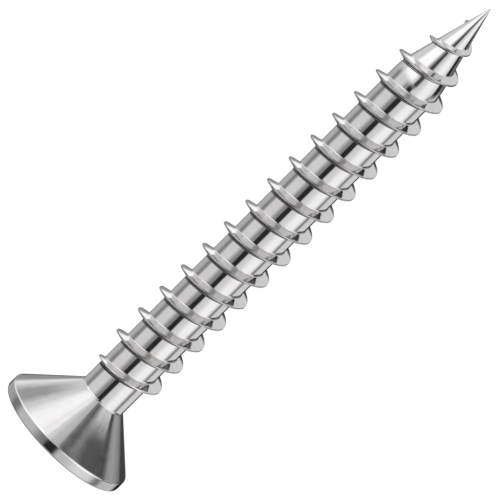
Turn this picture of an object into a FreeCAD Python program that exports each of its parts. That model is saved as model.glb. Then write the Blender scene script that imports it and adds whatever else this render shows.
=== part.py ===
import FreeCAD
import Part
import math
import os

# Countersunk wood screw, 6 x 50 mm, with a cross recess. All sizes are in millimetres and all
# angles in degrees.
#
# The screw's axis is the X axis. The head's flat face is the plane X = 0 and looks along +X, and
# the point ends at X = -screw_length, so the origin is the centre of the head's face.
#
# The real screw is one piece of cold-headed, thread-rolled steel. It is built here as the five
# regions that its makers name, each a closed solid that meets the next one face to face:
# head, neck, core, point and thread.

# Overall sizes
screw_length = 50.0
thread_diameter = 6.0
core_diameter = 4.25

# Countersunk head
head_diameter = 12.2
head_angle = 90.0
rim_height = 0.90
face_edge_radius = 0.16
rim_edge_radius = 0.12

# Neck: the fillet under the head and the plain length above the thread, as thick as the core
neck_fillet_radius = 0.30
neck_length = 0.795

# Gimlet point: a cone blended into the core, with a blunted tip
point_angle = 28.8
point_blend_radius = 7.0
tip_radius = 0.08

# Thread: one right-handed start that fades out under the head and leads in on the point, where
# its last half turn drifts towards the tip
pitch = 2.527
flank_angle = 36.0
crest_width = 0.13
crest_taper_length = 1.0
thread_neck_gap = 0.16
thread_tip_gap = 1.84
runout_turns = 1.0
lead_in_turns = 0.12
lead_in_drift = 0.55
drift_turns = 0.5
fade_height = 0.03
fade_crest_width = 0.05
stations_per_turn = 24
root_strips = 3

# Cross recess: a bevelled mouth, flared walls, and a keel whose floor slopes down to the middle
recess_span = 8.22
arm_width = 2.00
mouth_bevel = 0.07
end_wall_angle = 26.5
throat_depth = 1.60
throat_width = 0.72
keel_step = 0.06
keel_floor_angle = 28.0
centre_diameter = 0.96
centre_dimple_depth = 0.14
mouth_end_corner = 0.26
mouth_inner_corner = 0.85
throat_end_corner = 0.06
throat_inner_corner = 0.32
tool_clearance = 0.5

# Sizes that follow from the ones above
axis = FreeCAD.Vector(1, 0, 0)
origin = FreeCAD.Vector(0, 0, 0)
head_radius = head_diameter / 2
core_radius = core_diameter / 2
thread_height = (thread_diameter - core_diameter) / 2
flank_run = math.tan(math.radians(flank_angle / 2))
cone_run = math.tan(math.radians(head_angle / 2))
head_height = rim_height + (head_radius - core_radius) / cone_run
neck_end = head_height + neck_length
point_half_angle = math.radians(point_angle / 2)
point_apex = screw_length + tip_radius / math.sin(point_half_angle) - tip_radius
point_corner = point_apex - core_radius / math.tan(point_half_angle)
core_end = point_corner - point_blend_radius * math.tan(point_half_angle / 2)
thread_end = neck_end + thread_neck_gap
thread_turns = (screw_length - thread_tip_gap - lead_in_drift - thread_end) / pitch


def profile_point(x, radius):
    return FreeCAD.Vector(x, radius, 0)


def arc_in_corner(before, corner, after, radius):
    """Start, middle and end of the arc of this radius that rounds a corner."""
    back = (before - corner).normalize()
    ahead = (after - corner).normalize()
    half_angle = back.getAngle(ahead) / 2
    reach = radius / math.tan(half_angle)
    bisector = (back + ahead).normalize()
    middle = corner + bisector * (radius / math.sin(half_angle) - radius)
    return corner + back * reach, middle, corner + ahead * reach


def rounded_wire(corners):
    """A closed wire through the corners, each a point and the radius that rounds it."""
    count = len(corners)
    starts = []
    ends = []
    edges = []
    for index in range(count):
        corner, radius = corners[index]
        if radius == 0:
            starts.append(corner)
            ends.append(corner)
            continue
        before = corners[index - 1][0]
        after = corners[(index + 1) % count][0]
        start, middle, end = arc_in_corner(before, corner, after, radius)
        starts.append(start)
        ends.append(end)
        edges.append(Part.Arc(start, middle, end).toShape())
    for index in range(count):
        edges.append(Part.makeLine(ends[index], starts[(index + 1) % count]))
    return Part.Wire(Part.__sortEdges__(edges))


def turned(wire):
    """The solid that a closed wire in the XY half-plane sweeps round the screw's axis."""
    return Part.Face(wire).revolve(origin, axis, 360)


def cross_wire(x, span, width, end_corner, inner_corner):
    """The outline of a cross with rounded corners, in the plane at this X."""
    reach = span / 2
    half = width / 2
    corners = []
    for quarter in range(4):
        angle = quarter * math.pi / 2
        c = math.cos(angle)
        s = math.sin(angle)
        for y, z, radius in (
            (reach, -half, end_corner),
            (reach, half, end_corner),
            (half, half, inner_corner),
        ):
            corners.append((FreeCAD.Vector(x, y * c - z * s, y * s + z * c), radius))
    return rounded_wire(corners)


def recess_tool():
    """The space of the cross recess, from just outside the face down to the centre dimple."""
    mouth_span = recess_span - 2 * mouth_bevel
    wall_run = (throat_depth - mouth_bevel) * math.tan(math.radians(end_wall_angle))
    throat_span = mouth_span - 2 * wall_run
    lip = cross_wire(0, recess_span, arm_width, mouth_end_corner, mouth_inner_corner)
    mouth = cross_wire(
        -mouth_bevel,
        mouth_span,
        arm_width - 2 * mouth_bevel,
        mouth_end_corner - mouth_bevel,
        mouth_inner_corner + mouth_bevel,
    )
    throat = cross_wire(
        -throat_depth,
        throat_span,
        throat_width,
        throat_end_corner,
        throat_inner_corner,
    )
    above = Part.Face(lip).extrude(axis * tool_clearance)
    bevel = Part.makeLoft([lip, mouth], True, True)
    walls = Part.makeLoft([mouth, throat], True, True)

    floor_slope = math.tan(math.radians(keel_floor_angle))
    centre_radius = centre_diameter / 2
    keel_top = -throat_depth - keel_step
    keel_bottom = keel_top - (throat_span / 2 - centre_radius) * floor_slope
    bowl_top = keel_top + tool_clearance
    bowl_radius = throat_span / 2 + tool_clearance / floor_slope
    bowl = turned(
        Part.makePolygon(
            [
                profile_point(bowl_top, 0),
                profile_point(bowl_top, bowl_radius),
                profile_point(keel_bottom, centre_radius),
                profile_point(keel_bottom - centre_dimple_depth, 0),
                profile_point(bowl_top, 0),
            ]
        )
    )
    sink = axis * (keel_bottom - centre_dimple_depth - tool_clearance + throat_depth)
    keel = Part.Face(throat).extrude(sink).common(bowl)
    return above.fuse([bevel, walls, keel])


def neck_fillet():
    """Start, middle and end of the fillet between the head's cone and the neck."""
    cone_top = profile_point(-rim_height, head_radius)
    corner = profile_point(-head_height, core_radius)
    core_start = profile_point(-neck_end, core_radius)
    return arc_in_corner(cone_top, corner, core_start, neck_fillet_radius)


def make_head():
    """The countersunk head, down to where the fillet under its cone begins."""
    cone_end = neck_fillet()[0]
    outline = rounded_wire(
        [
            (profile_point(0, 0), 0),
            (profile_point(0, head_radius), face_edge_radius),
            (profile_point(-rim_height, head_radius), rim_edge_radius),
            (cone_end, 0),
            (profile_point(cone_end.x, 0), 0),
        ]
    )
    return turned(outline).cut(recess_tool())


def make_neck():
    """The fillet under the head's cone and the plain length between it and the core."""
    start, middle, end = neck_fillet()
    core_start = profile_point(-neck_end, core_radius)
    outline = Part.Wire(
        [
            Part.makeLine(profile_point(start.x, 0), start),
            Part.Arc(start, middle, end).toShape(),
            Part.makeLine(end, core_start),
            Part.makeLine(core_start, profile_point(core_start.x, 0)),
            Part.makeLine(profile_point(core_start.x, 0), profile_point(start.x, 0)),
        ]
    )
    return turned(outline)


def stem_radius(x):
    """The radius of the core and point, without the thread, at this X."""
    past_core = -core_end - x
    if past_core <= 0:
        return core_radius
    if past_core < point_blend_radius * math.sin(point_half_angle):
        drop = point_blend_radius - math.sqrt(point_blend_radius**2 - past_core**2)
        return core_radius - drop
    return (x + point_apex) * math.tan(point_half_angle)


def make_core():
    """The cylinder that carries the thread, from the neck to where the point begins."""
    return turned(
        Part.makePolygon(
            [
                profile_point(-neck_end, 0),
                profile_point(-neck_end, core_radius),
                profile_point(-core_end, core_radius),
                profile_point(-core_end, 0),
                profile_point(-neck_end, 0),
            ]
        )
    )


def make_point():
    """The gimlet point, whose cone leaves the core without a corner and ends in a blunted tip."""
    base = profile_point(-core_end, core_radius)
    corner = profile_point(-point_corner, core_radius)
    apex = profile_point(-point_apex, 0)
    start, middle, end = arc_in_corner(base, corner, apex, point_blend_radius)
    tip_arc = []
    for angle in (math.pi / 2 - point_half_angle, math.pi / 4, 0):
        x = tip_radius * (1 - math.cos(angle)) - screw_length
        tip_arc.append(profile_point(x, tip_radius * math.sin(angle)))
    outline = Part.Wire(
        [
            Part.makeLine(profile_point(-core_end, 0), start),
            Part.Arc(start, middle, end).toShape(),
            Part.makeLine(end, tip_arc[0]),
            Part.Arc(*tip_arc).toShape(),
            Part.makeLine(tip_arc[2], profile_point(-core_end, 0)),
        ]
    )
    return turned(outline)


def smooth_step(value):
    value = max(0.0, min(1.0, value))
    return value * value * (3 - 2 * value)


def thread_section(turn):
    """The thread's section this many turns from its end under the head, as (X, radius) pairs.

    They run along the root, from the head's side to the point's side, and back over the crest.
    """
    drift = lead_in_drift * smooth_step((turn - thread_turns) / drift_turns + 1)
    centre = -thread_end - turn * pitch - drift
    from_tip = centre + screw_length
    fade = smooth_step(turn / runout_turns) * smooth_step((thread_turns - turn) / lead_in_turns)
    taper = stem_radius(centre) / core_radius
    height = max(fade_height, thread_height * fade * taper)
    widening = (crest_width - fade_crest_width) * fade * min(1, from_tip / crest_taper_length)
    crest = fade_crest_width + widening
    half_root = crest / 2 + height * flank_run
    section = []
    for strip in range(root_strips + 1):
        x = centre + half_root * (1 - 2 * strip / root_strips)
        section.append((x, stem_radius(x)))
    section.append((centre - crest / 2, stem_radius(centre) + height))
    section.append((centre + crest / 2, stem_radius(centre) + height))
    return section


def ruled_face(curve_a, curve_b):
    """The face of straight lines between two curves that have the same knots."""
    surface = Part.BSplineSurface()
    surface.buildFromPolesMultsKnots(
        [list(poles) for poles in zip(curve_a.getPoles(), curve_b.getPoles())],
        curve_a.getMultiplicities(),
        [2, 2],
        curve_a.getKnots(),
        [0, 1],
        False,
        False,
        curve_a.Degree,
        1,
    )
    return surface.toShape()


def make_thread():
    """The helical ridge, whose root follows the core and the point."""
    stations = round(thread_turns * stations_per_turn) + 1
    turns = [thread_turns * station / (stations - 1) for station in range(stations)]
    lines = [[] for corner in thread_section(0)]
    for turn in turns:
        angle = -2 * math.pi * turn
        for line, (x, radius) in zip(lines, thread_section(turn)):
            line.append(FreeCAD.Vector(x, radius * math.cos(angle), radius * math.sin(angle)))
    curves = []
    for line in lines:
        curve = Part.BSplineCurve()
        curve.interpolate(Points=line, Parameters=turns)
        curves.append(curve)
    faces = []
    for index in range(len(curves)):
        faces.append(ruled_face(curves[index], curves[(index + 1) % len(curves)]))
    for end in (0, -1):
        section = [line[end] for line in lines]
        faces.append(Part.Face(Part.makePolygon(section + section[:1])))
    skin = Part.Shell(faces)
    skin.sewShape()
    solid = Part.Solid(skin)
    if solid.Volume < 0:
        solid.reverse()
    return solid


os.makedirs("parts", exist_ok=True)
pieces = {
    "head": make_head(),
    "neck": make_neck(),
    "core": make_core(),
    "point": make_point(),
    "thread": make_thread(),
}
for name, solid in pieces.items():
    solid.exportStep("parts/" + name + ".step")
    print(name, "valid", solid.isValid(), "volume", round(solid.Volume, 4))
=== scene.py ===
import bmesh
import bpy
import math
import numpy as np
from mathutils import Matrix, Vector


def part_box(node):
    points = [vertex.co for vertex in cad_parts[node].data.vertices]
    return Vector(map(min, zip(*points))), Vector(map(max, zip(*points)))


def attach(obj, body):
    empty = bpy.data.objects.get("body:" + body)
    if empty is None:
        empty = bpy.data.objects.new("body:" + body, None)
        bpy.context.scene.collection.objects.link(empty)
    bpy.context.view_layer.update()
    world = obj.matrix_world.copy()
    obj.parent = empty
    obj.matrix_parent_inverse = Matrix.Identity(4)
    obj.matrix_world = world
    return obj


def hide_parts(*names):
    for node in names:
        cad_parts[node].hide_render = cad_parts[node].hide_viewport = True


# Wood screw, 6 x 50 mm. The frame's X axis is the screw's axis, the head's face is X = 0 and the
# point is at -X. Shapes are worked out in millimetres and scaled when their meshes are made.

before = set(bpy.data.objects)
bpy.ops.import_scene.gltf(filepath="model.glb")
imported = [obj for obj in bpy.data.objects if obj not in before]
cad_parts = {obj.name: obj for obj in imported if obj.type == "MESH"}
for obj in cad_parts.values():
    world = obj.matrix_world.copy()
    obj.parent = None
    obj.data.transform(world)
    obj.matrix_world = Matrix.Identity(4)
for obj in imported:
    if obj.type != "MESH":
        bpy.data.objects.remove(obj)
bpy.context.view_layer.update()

MM = 0.001

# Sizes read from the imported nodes
SCREW_LENGTH = -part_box("point")[0].x / MM
HEAD_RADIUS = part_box("head")[1].y / MM
HEAD_END = -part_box("head")[0].x / MM
CONE_END_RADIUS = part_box("neck")[1].y / MM
NECK_END = -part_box("neck")[0].x / MM
CORE_END = -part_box("core")[0].x / MM

# Sizes that a node's box doesn't give: the design's own values
CORE_RADIUS = 2.125
THREAD_RADIUS = 3.0
THREAD_HEIGHT = THREAD_RADIUS - CORE_RADIUS
NECK_FILLET = 0.30
RIM_HEIGHT = 0.90
FACE_EDGE = 0.16
RIM_EDGE = 0.12
HEAD_HEIGHT = RIM_HEIGHT + HEAD_RADIUS - CORE_RADIUS
POINT_HALF_ANGLE = math.radians(14.4)
POINT_BLEND = 7.0
TIP_RADIUS = 0.08
POINT_APEX = SCREW_LENGTH + TIP_RADIUS / math.sin(POINT_HALF_ANGLE) - TIP_RADIUS

# Thread
PITCH = 2.527
FLANK_RUN = math.tan(math.radians(18))
CREST_WIDTH = 0.13
CREST_EDGE = 0.035
ROOT_FILLET = 0.13
THREAD_END = NECK_END + 0.16
THREAD_START = 1.84 - SCREW_LENGTH
LEAD_IN_DRIFT = 0.55
DRIFT_TURNS = 0.5
THREAD_TURNS = (-THREAD_START - LEAD_IN_DRIFT - THREAD_END) / PITCH
RUNOUT_TURNS = 1.0
LEAD_IN_TURNS = 0.12
FADE_HEIGHT = 0.004
FADE_CREST = 0.05
CREST_TAPER_LENGTH = 1.0
RIDGE_SUNK = 0.05

# Cross recess
RECESS_SPAN = 8.22
ARM_WIDTH = 2.00
LIP = 0.07
LIP_END_STRETCH = 1.02
MOUTH_END_CORNER = 0.26
MOUTH_INNER_CORNER = 0.85
THROAT_DEPTH = 1.60
THROAT_SPAN = 6.55
THROAT_WIDTH = 0.72
THROAT_END_CORNER = 0.06
THROAT_INNER_CORNER = 0.32
KEEL_STEP = 0.06
FLOOR_SLOPE = math.tan(math.radians(28))
DIMPLE_RADIUS = 0.48
DIMPLE_DEPTH = 0.14

# Half the width at which the keel's floor closes to a line in the middle of each arm
NEARLY_CLOSED = 1e-5

# Meshes: how close vertices are merged, in metres, and the angle from which an edge is sharp
HEAD_MERGE = 2e-6
SHANK_MERGE = 1e-7
SHARP_ANGLE = math.radians(32)


# Outlines and skins ------------------------------------------------------------------------------
def add_mesh(name, verts, faces, merge):
    """A smooth mesh of points in millimetres, with the ones closer than merge joined."""
    mesh = bpy.data.meshes.new(name)
    mesh.from_pydata([tuple(np.array(v) * MM) for v in verts], [], faces)
    mesh.validate()
    bm = bmesh.new()
    bm.from_mesh(mesh)
    bmesh.ops.remove_doubles(bm, verts=bm.verts, dist=merge)
    bmesh.ops.dissolve_degenerate(bm, edges=bm.edges, dist=merge / 10)
    bmesh.ops.recalc_face_normals(bm, faces=bm.faces)
    bm.to_mesh(mesh)
    bm.free()
    mesh.shade_smooth()
    mesh.set_sharp_from_angle(angle=SHARP_ANGLE)
    obj = bpy.data.objects.new(name, mesh)
    bpy.context.scene.collection.objects.link(obj)
    return obj


def arc(before, corner, after, radius, steps):
    """Points of the arc that rounds a corner of a flat outline."""
    before, corner, after = (np.array(p, float) for p in (before, corner, after))
    back = (before - corner) / np.linalg.norm(before - corner)
    ahead = (after - corner) / np.linalg.norm(after - corner)
    half = math.acos(float(np.clip(back @ ahead, -1, 1))) / 2
    bisector = (back + ahead) / np.linalg.norm(back + ahead)
    centre = corner + bisector * radius / math.sin(half)
    start = corner + back * radius / math.tan(half) - centre
    end = corner + ahead * radius / math.tan(half) - centre
    sweep = math.pi - 2 * half
    points = []
    for i in range(steps + 1):
        a = math.sin(sweep * (1 - i / steps))
        b = math.sin(sweep * i / steps)
        points.append(centre + (start * a + end * b) / math.sin(sweep))
    return points


def between(start, end, count):
    """The points that cut a line into this many equal steps, both ends left out."""
    return [start + (end - start) * i / count for i in range(1, count)]


def span(start, end, step):
    """Points from start towards end, both left out, about one step apart."""
    start, end = np.array(start, float), np.array(end, float)
    return between(start, end, max(1, round(float(np.linalg.norm(end - start)) / step)))


def ring(x, radius, angles):
    return [(x, radius * math.cos(a), radius * math.sin(a)) for a in angles]


def skin(rings):
    """Vertices and faces of a tube through rings of equal length."""
    n = len(rings[0])
    verts = [v for r in rings for v in r]
    faces = []
    for k in range(len(rings) - 1):
        for i in range(n):
            j = (i + 1) % n
            faces.append((k * n + i, k * n + j, (k + 1) * n + j, (k + 1) * n + i))
    return verts, faces


def close_with_pole(verts, faces, first, n, x, flip):
    """Closes a ring of vertices with a fan to a point on the axis."""
    pole = len(verts)
    verts.append((x, 0, 0))
    for i in range(n):
        j = first + (i + 1) % n
        faces.append((first + i, j, pole) if flip else (j, first + i, pole))


def lathe(name, outline, segments=192, step=0.25):
    """A turned solid. The outline's (X, radius) points run from +X to -X, and flat ends are added."""
    angles = [2 * math.pi * i / segments for i in range(segments)]
    points = []
    for p, q in zip(outline, outline[1:]):
        points.append(p)
        points.extend(span(p, q, step))
    points.append(outline[-1])
    verts, faces = skin([ring(x, r, angles) for x, r in points])
    faces = [f[::-1] for f in faces]
    close_with_pole(verts, faces, 0, segments, points[0][0], False)
    close_with_pole(verts, faces, (len(points) - 1) * segments, segments, points[-1][0], True)
    return add_mesh(name, verts, faces, SHANK_MERGE)


# Head and cross recess ---------------------------------------------------------------------------
def cross_outline(reach, half, end_corner, inner_corner, x):
    """A cross with rounded corners, as (X, Y, Z) points: the same count whatever its sizes are."""
    low, high, inner = (reach, -half), (reach, half), (half, half)
    quarter = arc((0, -half), low, high, end_corner, 5)
    upper = arc(low, high, (0, half), end_corner, 5)
    quarter += between(quarter[-1], upper[0], 8) + upper
    bend = arc(high, inner, (half, reach), inner_corner, 12)
    quarter += between(quarter[-1], bend[0], 20) + bend
    next_corner = arc((half, 0), (half, reach), (-half, reach), end_corner, 5)[0]
    quarter += between(bend[-1], next_corner, 20)
    points = []
    for c, s in ((1, 0), (0, 1), (-1, 0), (0, -1)):
        points += [(x, y * c - z * s, y * s + z * c) for y, z in quarter]
    return points


def floor_depth(y, z):
    """Depth of the recess's floor: a shallow bowl with a dimple in the middle."""
    r = math.hypot(y, z)
    deepest = THROAT_DEPTH + KEEL_STEP + (THROAT_SPAN / 2 - DIMPLE_RADIUS) * FLOOR_SLOPE
    depth = deepest - max(0.0, r - DIMPLE_RADIUS) * FLOOR_SLOPE
    if r < DIMPLE_RADIUS:
        depth += DIMPLE_DEPTH * (1 - r / DIMPLE_RADIUS)
    return depth


def head_outline():
    """The outside, as (X, radius) points from the cone's lower end up to the flat face."""
    cone_low, rim_low = (-HEAD_END, CONE_END_RADIUS), (-RIM_HEIGHT, HEAD_RADIUS)
    rim_high, centre = (0, HEAD_RADIUS), (0, 0)
    low = arc(cone_low, rim_low, rim_high, RIM_EDGE, 6)
    high = arc(rim_low, rim_high, centre, FACE_EDGE, 6)
    cone = [np.array(cone_low)] + span(cone_low, low[0], 0.25)
    return cone + low + span(low[-1], high[0], 0.15) + high


def face_rings(mouth, own, even, edge):
    """The flat face, from its round edge in to the recess's lip, packed closer at the edge."""
    rings = []
    for i in range(1, 10):
        t = (i / 10) ** 0.8
        row = []
        for (_, y, z), own_angle, even_angle in zip(mouth, own, even):
            a = even_angle + (own_angle - even_angle) * t
            r = edge + (math.hypot(y, z) - edge) * t
            row.append((0, r * math.cos(a), r * math.sin(a)))
        rings.append(row)
    return rings


def recess_rings():
    """The recess below its mouth: a rounded lip, flared walls and a keel with a sloping floor."""
    rings = []
    wall = math.atan((ARM_WIDTH / 2 - LIP - THROAT_WIDTH / 2) / (THROAT_DEPTH - LIP))
    for i in range(1, 5):
        a = i / 4 * (math.pi / 2 - wall)
        inset = LIP * math.sin(a)
        rings.append(
            cross_outline(
                RECESS_SPAN / 2 - inset * LIP_END_STRETCH,
                ARM_WIDTH / 2 - inset,
                MOUTH_END_CORNER - inset,
                MOUTH_INNER_CORNER + inset,
                -LIP * (1 - math.cos(a)),
            )
        )

    lip_inset = LIP * math.cos(wall)
    wall_top = (
        RECESS_SPAN / 2 - lip_inset * LIP_END_STRETCH,
        ARM_WIDTH / 2 - lip_inset,
        MOUTH_END_CORNER - LIP,
        MOUTH_INNER_CORNER + LIP,
        -LIP * (1 - math.sin(wall)),
    )
    wall_foot = (
        THROAT_SPAN / 2,
        THROAT_WIDTH / 2,
        THROAT_END_CORNER,
        THROAT_INNER_CORNER,
        -THROAT_DEPTH,
    )
    for i in range(1, 13):
        rings.append(cross_outline(*(a + (b - a) * i / 12 for a, b in zip(wall_top, wall_foot))))

    for i in range(13):
        shrink = 1 - i / 12
        row = cross_outline(
            THROAT_SPAN / 2 - THROAT_WIDTH / 2 * (1 - shrink),
            THROAT_WIDTH / 2 * shrink + NEARLY_CLOSED,
            THROAT_END_CORNER * shrink + NEARLY_CLOSED / 10,
            THROAT_INNER_CORNER * shrink + NEARLY_CLOSED / 10,
            0,
        )
        rings.append([(-floor_depth(y, z), y, z) for _, y, z in row])
    return rings


def build_head():
    """The head. Its rings turn from even angles at the rim to the recess's own at the mouth."""
    mouth = cross_outline(
        RECESS_SPAN / 2, ARM_WIDTH / 2, MOUTH_END_CORNER, MOUTH_INNER_CORNER, 0
    )
    n = len(mouth)
    own = np.unwrap([math.atan2(z, y) for _, y, z in mouth])
    even = own[0] + 2 * math.pi * np.arange(n) / n
    even = even + (own - even).mean()
    outline = head_outline()
    rings = [ring(x, r, even) for x, r in outline]
    rings += face_rings(mouth, own, even, float(outline[-1][1]))
    rings.append(mouth)
    rings += recess_rings()
    verts, faces = skin(rings)
    close_with_pole(verts, faces, 0, n, -HEAD_END, False)
    return add_mesh("screw_head", verts, faces, HEAD_MERGE)


# Neck, core and point ----------------------------------------------------------------------------
def stem_radius(x):
    """The radius of the core and point, without the thread, at this X."""
    past = -CORE_END - x
    if past <= 0:
        return CORE_RADIUS
    if past < POINT_BLEND * math.sin(POINT_HALF_ANGLE):
        return CORE_RADIUS - POINT_BLEND + math.sqrt(POINT_BLEND**2 - past**2)
    return (x + POINT_APEX) * math.tan(POINT_HALF_ANGLE)


def neck_outline():
    cone_top = (-RIM_HEIGHT, HEAD_RADIUS)
    corner = (-HEAD_HEIGHT, CORE_RADIUS)
    core_start = (-NECK_END, CORE_RADIUS)
    return arc(cone_top, corner, core_start, NECK_FILLET, 10) + [np.array(core_start)]


def point_outline():
    corner_x = -(POINT_APEX - CORE_RADIUS / math.tan(POINT_HALF_ANGLE))
    base = (-CORE_END, CORE_RADIUS)
    blend = arc(base, (corner_x, CORE_RADIUS), (-POINT_APEX, 0), POINT_BLEND, 16)
    tip = []
    for i in range(8):
        a = (math.pi / 2 - POINT_HALF_ANGLE) * (1 - i / 8)
        x = TIP_RADIUS * (1 - math.cos(a)) - SCREW_LENGTH
        tip.append(np.array((x, TIP_RADIUS * math.sin(a))))
    return blend + tip


# Thread ------------------------------------------------------------------------------------------
def smooth_step(v):
    v = min(1.0, max(0.0, v))
    return v * v * (3 - 2 * v)


def thread_section(turn):
    """The ridge's section, this many turns from its end under the head, as (X, radius) points.

    Its root is rounded into the core and its crest has small round edges. It ends a little
    below the core's surface.
    """
    drift = LEAD_IN_DRIFT * smooth_step((turn - THREAD_TURNS) / DRIFT_TURNS + 1)
    centre = -THREAD_END - turn * PITCH - drift
    fade = smooth_step(turn / RUNOUT_TURNS) * smooth_step((THREAD_TURNS - turn) / LEAD_IN_TURNS)
    size = stem_radius(centre) / CORE_RADIUS
    height = max(FADE_HEIGHT, THREAD_HEIGHT * fade * size)
    from_tip = (centre + SCREW_LENGTH) / CREST_TAPER_LENGTH
    crest = FADE_CREST + (CREST_WIDTH - FADE_CREST) * fade * min(1, from_tip)
    half_root = crest / 2 + height * FLANK_RUN
    fillet = min(ROOT_FILLET, height * 0.45)
    edge = min(CREST_EDGE, height * 0.2, crest * 0.3)
    along_core, root, crest_corner = (half_root + 1, 0), (half_root, 0), (crest / 2, height)
    foot = arc(along_core, root, crest_corner, fillet, 7)
    top = arc(root, crest_corner, (0, height), edge, 4)
    right = [np.array((foot[0][0], -RIDGE_SUNK))] + foot + between(foot[-1], top[0], 7) + top
    left = [np.array((-x, y)) for x, y in right[::-1]]
    return [(centre + x, stem_radius(centre + x) + y) for x, y in right + left]


def build_thread(per_turn=96):
    stations = round(THREAD_TURNS * per_turn) + 1
    rings = []
    for k in range(stations):
        turn = THREAD_TURNS * k / (stations - 1)
        a = -2 * math.pi * turn
        rings.append([(x, r * math.cos(a), r * math.sin(a)) for x, r in thread_section(turn)])
    verts, faces = skin(rings)
    n = len(rings[0])
    faces.append(tuple(range(n)))
    faces.append(tuple(range((stations - 1) * n, stations * n))[::-1])
    return add_mesh("screw_thread", verts, faces, SHANK_MERGE)


head = build_head()
neck = lathe("screw_neck", neck_outline())
core = lathe("screw_core", [(-NECK_END, CORE_RADIUS), (-CORE_END, CORE_RADIUS)], step=0.8)
point = lathe("screw_point", point_outline())
thread = build_thread()


# Materials -------------------------------------------------------------------------------------
def add(tree, kind, *values, **settings):
    """A new node. The values go to its inputs in order: numbers, colours or other sockets."""
    node = tree.nodes.new(kind)
    for key, value in settings.items():
        setattr(node, key, value)
    for socket, value in zip(node.inputs, values):
        if isinstance(value, bpy.types.NodeSocket):
            tree.links.new(value, socket)
        elif value is not None:
            socket.default_value = value
    return node


def calc(tree, operation, *values):
    return add(tree, "ShaderNodeMath", *values, operation=operation).outputs[0]


def product(tree, first, *others):
    for value in others:
        first = calc(tree, "MULTIPLY", first, value)
    return first


def fade(tree, value, start, end, low=0.0, high=1.0):
    """Goes smoothly from low to high while the value goes from start to end."""
    values = (value, start, end, low, high)
    kind = "ShaderNodeMapRange"
    return add(tree, kind, *values, interpolation_type="SMOOTHSTEP").outputs[0]


def blend(tree, factor, a, b):
    """A colour that goes from a to b."""
    values = (factor, None, None, None, None, None, a, b)
    return add(tree, "ShaderNodeMix", *values, data_type="RGBA").outputs[2]


def noise(tree, vector, scale, detail=3.0, roughness=0.5, distortion=0.0):
    values = (vector, None, scale, detail, roughness, None, None, None, distortion)
    return add(tree, "ShaderNodeTexNoise", *values).outputs[0]


def stretched(tree, vector, factors):
    values = (vector, factors)
    return add(tree, "ShaderNodeVectorMath", *values, operation="MULTIPLY").outputs[0]


def bumped(tree, layers):
    """A normal from layers of height, each a socket and its height in millimetres."""
    normal = None
    for height, size in layers:
        node = add(tree, "ShaderNodeBump")
        node.inputs["Distance"].default_value = size * MM
        tree.links.new(height, node.inputs["Height"])
        if normal is not None:
            tree.links.new(normal, node.inputs["Normal"])
        normal = node.outputs[0]
    return normal


class Place:
    """Where the shaded point is, in millimetres and in the screw's own terms."""

    def __init__(self, tree):
        coords = add(tree, "ShaderNodeTexCoord")
        scaled = add(
            tree, "ShaderNodeVectorMath", coords.outputs["Object"], operation="SCALE"
        )
        scaled.inputs["Scale"].default_value = 1 / MM
        self.point = scaled.outputs[0]
        self.x, y, z = add(tree, "ShaderNodeSeparateXYZ", self.point).outputs
        square = calc(tree, "ADD", calc(tree, "MULTIPLY", y, y), calc(tree, "MULTIPLY", z, z))
        self.radius = calc(tree, "SQRT", square)
        self.angle = calc(tree, "ARCTAN2", z, y)
        around = add(tree, "ShaderNodeCombineXYZ", 0.0, y, z).outputs[0]
        self.around = add(
            tree, "ShaderNodeVectorMath", around, operation="NORMALIZE"
        ).outputs[0]
        self.facing = add(tree, "ShaderNodeSeparateXYZ", coords.outputs["Normal"]).outputs[0]


def new_steel(name, color, roughness, normal):
    """A bright-plated steel, from sockets for its colour, roughness and normal."""
    material = bpy.data.materials[name]
    tree = material.node_tree
    bsdf = tree.nodes["Principled BSDF"]
    bsdf.inputs["Metallic"].default_value = 1.0
    tree.links.new(color, bsdf.inputs["Base Color"])
    tree.links.new(roughness, bsdf.inputs["Roughness"])
    tree.links.new(normal, bsdf.inputs["Normal"])
    return material


def new_tree(name):
    material = bpy.data.materials.new(name)
    material.use_nodes = True
    return material.node_tree


BRIGHT = (0.82, 0.82, 0.82, 1)
WARM = (0.81, 0.79, 0.785, 1)
# Wear specks, and painted highlights on the head's edges
WEAR_AND_HIGHLIGHT = (0.95, 0.95, 0.95, 1)
SATIN = (0.70, 0.70, 0.70, 1)
# Tarnish streaks, and painted shade on the rim and on the thread's crest
TARNISH_AND_SHADE = (0.36, 0.35, 0.35, 1)
# Painted shade at the thread's root
PAINTED_ROOT_SHADE = (0.035, 0.033, 0.032, 1)
# Painted dark reflections and shade lines on the head
PAINTED_DARK = (0.12, 0.12, 0.12, 1)


def taper_of(tree, place):
    """How much smaller the point is than the core at this X: 1 on the core."""
    slope = math.tan(POINT_HALF_ANGLE) / CORE_RADIUS
    cone = calc(tree, "MULTIPLY_ADD", place.x, slope, POINT_APEX * slope)
    return calc(tree, "MINIMUM", cone, 1.0)


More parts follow.
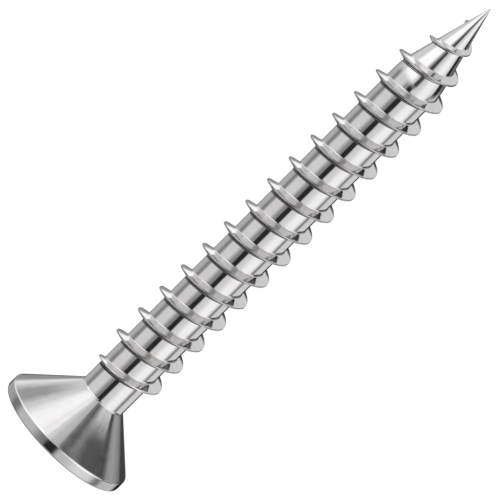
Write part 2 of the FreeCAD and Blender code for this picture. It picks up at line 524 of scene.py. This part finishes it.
def shank_steel():
    """Rolled steel: faint lines round it, soft mottling, and a painted shade line in the crease on the
    thread's head side.
    """
    tree = new_tree("rolled_steel")
    place = Place(tree)
    mottle = noise(tree, place.point, 1.3, 4.0, 0.6)
    grain = noise(tree, place.point, 9.0, 4.0, 0.6)
    lines = noise(tree, stretched(tree, place.point, (11.0, 0.9, 0.9)), 1.0, 2.0)
    waves = noise(tree, stretched(tree, place.point, (0.35, 1.0, 1.0)), 1.1, 1.0)

    # Painted shade: a dark line on the core along the foot of the thread's head-side flank
    turns = calc(tree, "MULTIPLY_ADD", place.x, 1 / PITCH, THREAD_END / PITCH)
    phase = calc(tree, "MULTIPLY_ADD", place.angle, -1 / (2 * math.pi), turns)
    off_ridge = calc(tree, "MULTIPLY", calc(tree, "WRAP", phase, 0.5, -0.5), PITCH)
    size = taper_of(tree, place)
    off_ridge = calc(tree, "DIVIDE", off_ridge, size)
    near = product(tree, fade(tree, off_ridge, 0.0, 0.1), fade(tree, off_ridge, 0.54, 0.48))
    threaded = fade(tree, place.x, -THREAD_END + 0.3, -THREAD_END - 0.9)
    begun = fade(tree, place.x, THREAD_START + 0.5, THREAD_START + 1.0)
    root_shade = product(tree, near, threaded, begun)

    color = blend(tree, fade(tree, mottle, 0.35, 0.65), BRIGHT, WARM)
    color = blend(tree, fade(tree, grain, 0.60, 0.80, 0.0, 0.35), color, WEAR_AND_HIGHLIGHT)
    # Painted shade in the crease, which is also made rougher
    color = blend(tree, root_shade, color, PAINTED_ROOT_SHADE)
    rough = fade(tree, mottle, 0.3, 0.7, 0.045, 0.085)
    rough = calc(tree, "MULTIPLY_ADD", root_shade, 0.30, rough)
    normal = bumped(tree, ((waves, 0.012), (lines, 0.0006), (grain, 0.0006)))
    return new_steel("rolled_steel", color, rough, normal)


def thread_steel():
    """The ridge: rolled flanks with streaks up them, a painted dark reflection along the crest and
    painted shade at the root of its head-side flank.
    """
    tree = new_tree("thread_steel")
    place = Place(tree)
    size = taper_of(tree, place)
    stem = calc(tree, "MULTIPLY", size, CORE_RADIUS)
    height = calc(tree, "DIVIDE", calc(tree, "SUBTRACT", place.radius, stem), size)
    streaks = noise(tree, stretched(tree, place.around, (5.0, 5.0, 5.0)), 1.0, 3.0, 0.6)
    mottle = noise(tree, place.point, 2.2, 4.0, 0.6)
    grain = noise(tree, place.point, 11.0, 3.0, 0.6)

    # Painted dark reflection along the crest, which is also made rougher
    crest = fade(tree, height, THREAD_HEIGHT - 0.055, THREAD_HEIGHT - 0.015)
    headward = fade(tree, place.facing, 0.05, 0.3)
    # Painted shade at the root of the head-side flank
    root = product(tree, headward, fade(tree, height, 0.24, 0.10))
    color = blend(tree, fade(tree, mottle, 0.3, 0.7), BRIGHT, WARM)
    color = blend(tree, fade(tree, streaks, 0.5, 0.75, 0.0, 0.15), color, TARNISH_AND_SHADE)
    color = blend(tree, product(tree, crest, 0.65), color, TARNISH_AND_SHADE)
    color = blend(tree, root, color, PAINTED_ROOT_SHADE)
    rough = fade(tree, mottle, 0.3, 0.7, 0.06, 0.12)
    rough = calc(tree, "MULTIPLY_ADD", crest, 0.16, rough)
    rough = calc(tree, "MULTIPLY_ADD", root, 0.30, rough)
    normal = bumped(tree, ((streaks, 0.008), (mottle, 0.003), (grain, 0.0006)))
    return new_steel("thread_steel", color, rough, normal)


# Painted dark reflections down the cone, made rougher too: the angle round the axis, the half width and
# how dark, at the rim
DARK_PATCHES = ((58, 30, 1.0), (144, 16, 0.55))


def head_steel():
    """Cold-headed steel: streaks down the cone, a satin face, a bright punched recess, and painted
    light: dark patches, shade lines and highlight lines.
    """
    tree = new_tree("headed_steel")
    place = Place(tree)
    streaks = noise(tree, stretched(tree, place.around, (7.0, 7.0, 7.0)), 1.0, 4.0, 0.65)
    waves = noise(tree, place.point, 0.42, 2.0, 0.4)
    grain = noise(tree, place.point, 12.0, 4.0, 0.6)
    mottle = noise(tree, place.point, 1.6, 4.0, 0.6, 0.4)

    below_face = fade(tree, place.x, -0.02, -0.06)
    near_recess = fade(tree, place.radius, 5.0, 4.6)
    inward = product(tree, below_face, near_recess, fade(tree, place.facing, -0.4, -0.2))
    face = product(
        tree, fade(tree, place.facing, 0.9, 0.99), fade(tree, place.x, -0.1, -0.01)
    )
    outside = calc(tree, "SUBTRACT", 1.0, calc(tree, "MAXIMUM", inward, face))
    cone = product(tree, outside, fade(tree, place.facing, -0.3, -0.6))

    edge = calc(tree, "ABSOLUTE", calc(tree, "ADD", place.x, RIM_HEIGHT))
    # Painted highlight: a bright line round the edge between the cone and the rim
    edge_highlight = product(tree, outside, fade(tree, edge, 0.10, 0.04))
    ragged = calc(tree, "SUBTRACT", mottle, 0.5)
    rimward = fade(tree, calc(tree, "MULTIPLY_ADD", ragged, 0.6, place.x), -4.9, -2.4)
    patch_zone = product(tree, cone, rimward)
    # Painted dark reflections: dark patches down the cone towards the rim, at the listed angles
    painted_dark = 0.0
    for angle, half, darkness in DARK_PATCHES:
        away = calc(tree, "ABSOLUTE", calc(tree, "SUBTRACT", place.angle, math.radians(angle)))
        away = calc(tree, "MULTIPLY_ADD", ragged, 0.15, away)
        dark_patch = fade(tree, away, math.radians(half), math.radians(half * 0.2), 0.0, darkness)
        painted_dark = calc(tree, "MAXIMUM", painted_dark, product(tree, dark_patch, patch_zone))

    color = blend(tree, fade(tree, mottle, 0.3, 0.7), BRIGHT, WARM)
    streaked = product(tree, cone, fade(tree, streaks, 0.45, 0.75, 0.0, 0.35))
    color = blend(tree, streaked, color, TARNISH_AND_SHADE)
    color = blend(tree, painted_dark, color, PAINTED_DARK)
    # Painted shade: the rim is darkened
    rim = product(tree, outside, fade(tree, place.facing, -0.35, -0.1, 0.0, 0.4))
    color = blend(tree, rim, color, TARNISH_AND_SHADE)
    color = blend(tree, face, color, SATIN)
    # Painted highlight on the cone's edge
    color = blend(tree, edge_highlight, color, WEAR_AND_HIGHLIGHT)
    # Painted shade: a dark line round the rounded edge between the rim and the face
    rim_edge = fade(tree, place.radius, HEAD_RADIUS - 0.20, HEAD_RADIUS - 0.12)
    corner = product(tree, rim_edge, fade(tree, place.x, -FACE_EDGE, -0.07), 0.8)
    color = blend(tree, corner, color, PAINTED_DARK)
    off_face = product(tree, near_recess, fade(tree, place.facing, 0.97, 0.9))
    # Painted shade: a dark line just below the recess's lip
    below_lip_shade = product(tree, off_face, fade(tree, place.x, -0.32, -0.14), 0.6)
    color = blend(tree, below_lip_shade, color, PAINTED_DARK)
    # Painted highlight round the recess's lip
    lip_highlight = product(tree, off_face, fade(tree, place.x, -0.12, -0.09))
    color = blend(tree, lip_highlight, color, WEAR_AND_HIGHLIGHT)
    rough = fade(tree, mottle, 0.3, 0.7, 0.08, 0.13)
    rough = calc(tree, "MULTIPLY_ADD", face, 0.20, rough)
    rough = calc(tree, "MULTIPLY_ADD", painted_dark, 0.15, rough)
    drawn = product(tree, streaks, cone)
    rolling = product(tree, waves, outside)
    crowned = product(tree, place.radius, place.radius, face)
    layers = ((rolling, 0.02), (drawn, 0.012), (crowned, -0.014), (grain, 0.0008))
    normal = bumped(tree, layers)
    return new_steel("headed_steel", color, rough, normal)


shank_material = shank_steel()
for obj, node, material in (
    (head, "head", head_steel()),
    (neck, "neck", shank_material),
    (core, "core", shank_material),
    (point, "point", shank_material),
    (thread, "thread", thread_steel()),
):
    obj.data.materials.append(material)
    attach(obj, "root")
    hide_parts(node)


# Floor, light and camera -----------------------------------------------------------------------
# Metres from the middle of the floor to its edges
FLOOR_REACH = 1.5


def build_floor():
    """A pale sheet that the head's rim and the last full crest near the point rest on."""
    rim = Vector((-RIM_HEIGHT / 2, 0, -HEAD_RADIUS)) * MM
    last_crest = Vector((-CORE_END, 0, -THREAD_RADIUS)) * MM
    along = (last_crest - rim).normalized()
    across = Vector((0, 1, 0))
    corners = []
    for u, v in ((-1, -1), (1, -1), (1, 1), (-1, 1)):
        corners.append(tuple(rim + (along * u + across * v) * FLOOR_REACH))
    mesh = bpy.data.meshes.new("floor")
    mesh.from_pydata(corners, [], [(0, 1, 2, 3)])
    floor = bpy.data.objects.new("floor", mesh)
    bpy.context.scene.collection.objects.link(floor)
    tree = new_tree("pale_floor")
    bsdf = tree.nodes["Principled BSDF"]
    bsdf.inputs["Base Color"].default_value = (0.8, 0.8, 0.8, 1)
    bsdf.inputs["Roughness"].default_value = 0.9
    bsdf.inputs["Specular IOR Level"].default_value = 0.0
    bsdf.inputs["Emission Color"].default_value = (1, 1, 1, 1)
    bsdf.inputs["Emission Strength"].default_value = 0.6
    mesh.materials.append(bpy.data.materials["pale_floor"])
    floor.visible_glossy = False


def grey(value):
    """Linear light for a display value."""
    return value / 12.92 if value <= 0.04045 else ((value + 0.055) / 1.055) ** 2.4


# The share of light that the steel gives back, so the brightnesses below are those seen in it
STEEL_TINT = 0.82
TENT = 0.80
# Half the width of the soft edge at both ends of a card, along the axis
CARD_END_SOFTNESS = 0.08
# The cards and soft boxes inside the tent. Each one's place is an angle round the screw's axis (0
# is overhead, 90 and -90 the two sides, 180 underneath), half its width and the width of its soft
# edge, then how far it reaches along the axis (-1 is past the point, 1 past the head).
CARDS = (
    # angle, half, edge, from, to, brightness
    (130, 34, 16, 0.12, 0.70, 0.67),
    (96, 3, 18, 0.10, 0.55, 0.50),
    (-92, 2, 14, 0.10, 0.55, 0.46),
    (110, 50, 70, 0.86, 1.20, 0.55),
    (-60, 6, 32, -0.72, 0.90, 0.94),
    (50, 22, 20, -0.60, 0.04, 0.99),
    (74, 24, 24, -1.10, -0.78, 0.97),
    (163, 12, 12, -0.60, -0.20, 0.97),
    (172, 26, 16, -0.20, 0.12, 0.56),
    (-36, 12, 16, -1.10, -0.88, 0.34),
    (-118, 5, 8, -0.78, -0.46, 0.16),
    (-134, 12, 9, -0.62, -0.22, 0.60),
    (-130, 14, 10, -0.30, 0.12, 0.42),
    (-110, 8, 10, -0.30, 0.12, 0.14),
    (-162, 12, 12, -0.24, 0.12, 0.24),
    (0, 6, 20, -0.95, -0.20, 0.56),
    (-5, 4, 10, -0.34, 0.10, 0.24),
    (14, 6, 24, 0.10, 0.50, 0.52),
    (2, 7, 8, 0.10, 0.46, 0.15),
    (-174, 21, 14, 0.10, 0.46, 0.06),
)


def build_world():
    world = bpy.data.worlds.new("studio")
    bpy.context.scene.world = world
    world.use_nodes = True
    tree = world.node_tree
    tree.nodes.clear()
    direction = add(tree, "ShaderNodeTexCoord").outputs["Generated"]
    dx, dy, dz = add(tree, "ShaderNodeSeparateXYZ", direction).outputs
    angle = calc(tree, "ARCTAN2", calc(tree, "MULTIPLY", dy, -1.0), dz)
    tent = grey(TENT) / STEEL_TINT
    light = add(tree, "ShaderNodeRGB")
    light.outputs[0].default_value = (tent, tent, tent, 1)
    light = light.outputs[0]
    for place, half, edge, start, end, brightness in CARDS:
        off = calc(tree, "SUBTRACT", angle, math.radians(place))
        off = calc(tree, "PINGPONG", off, math.pi)
        across = fade(tree, off, math.radians(half + edge), math.radians(half))
        along = calc(
            tree,
            "MULTIPLY",
            fade(tree, dx, start - CARD_END_SOFTNESS, start + CARD_END_SOFTNESS),
            fade(tree, dx, end + CARD_END_SOFTNESS, end - CARD_END_SOFTNESS),
        )
        level = grey(brightness) / STEEL_TINT
        card = product(tree, across, along)
        light = blend(tree, card, light, (level, level, level, 1))

    seen = add(tree, "ShaderNodeLightPath").outputs["Is Camera Ray"]
    studio = add(tree, "ShaderNodeBackground", light)
    backdrop = add(tree, "ShaderNodeBackground", (1, 1, 1, 1))
    shader = add(tree, "ShaderNodeMixShader", seen, studio.outputs[0], backdrop.outputs[0])
    add(tree, "ShaderNodeOutputWorld", shader.outputs[0])


# Camera: a long lens, far off, so that the view is nearly parallel
TILT = math.radians(14.96)
TURN = math.radians(-134.996)
CAMERA_TARGET = Vector((-22.095, 0.043, 0)) * MM
CAMERA_DISTANCE = 641.6 * MM
LENS = 577.1


def build_camera():
    """Above the screw, leaning towards its point, and turned so that the point is at the upper right."""
    data = bpy.data.cameras.new("camera")
    data.sensor_width = 36
    data.lens = LENS
    data.clip_start = 0.01
    data.clip_end = 10
    camera = bpy.data.objects.new("camera", data)
    bpy.context.scene.collection.objects.link(camera)
    back = Vector((-math.sin(TILT), 0, math.cos(TILT)))
    side = Vector((0, -1, 0))
    right = side * math.cos(TURN) + back.cross(side) * math.sin(TURN)
    up = back.cross(right)
    rotation = Matrix((right, up, back)).transposed().to_4x4()
    camera.matrix_world = Matrix.Translation(CAMERA_TARGET + back * CAMERA_DISTANCE) @ rotation
    bpy.context.scene.camera = camera


build_floor()
build_world()
build_camera()
bpy.context.scene.view_settings.view_transform = "Standard"
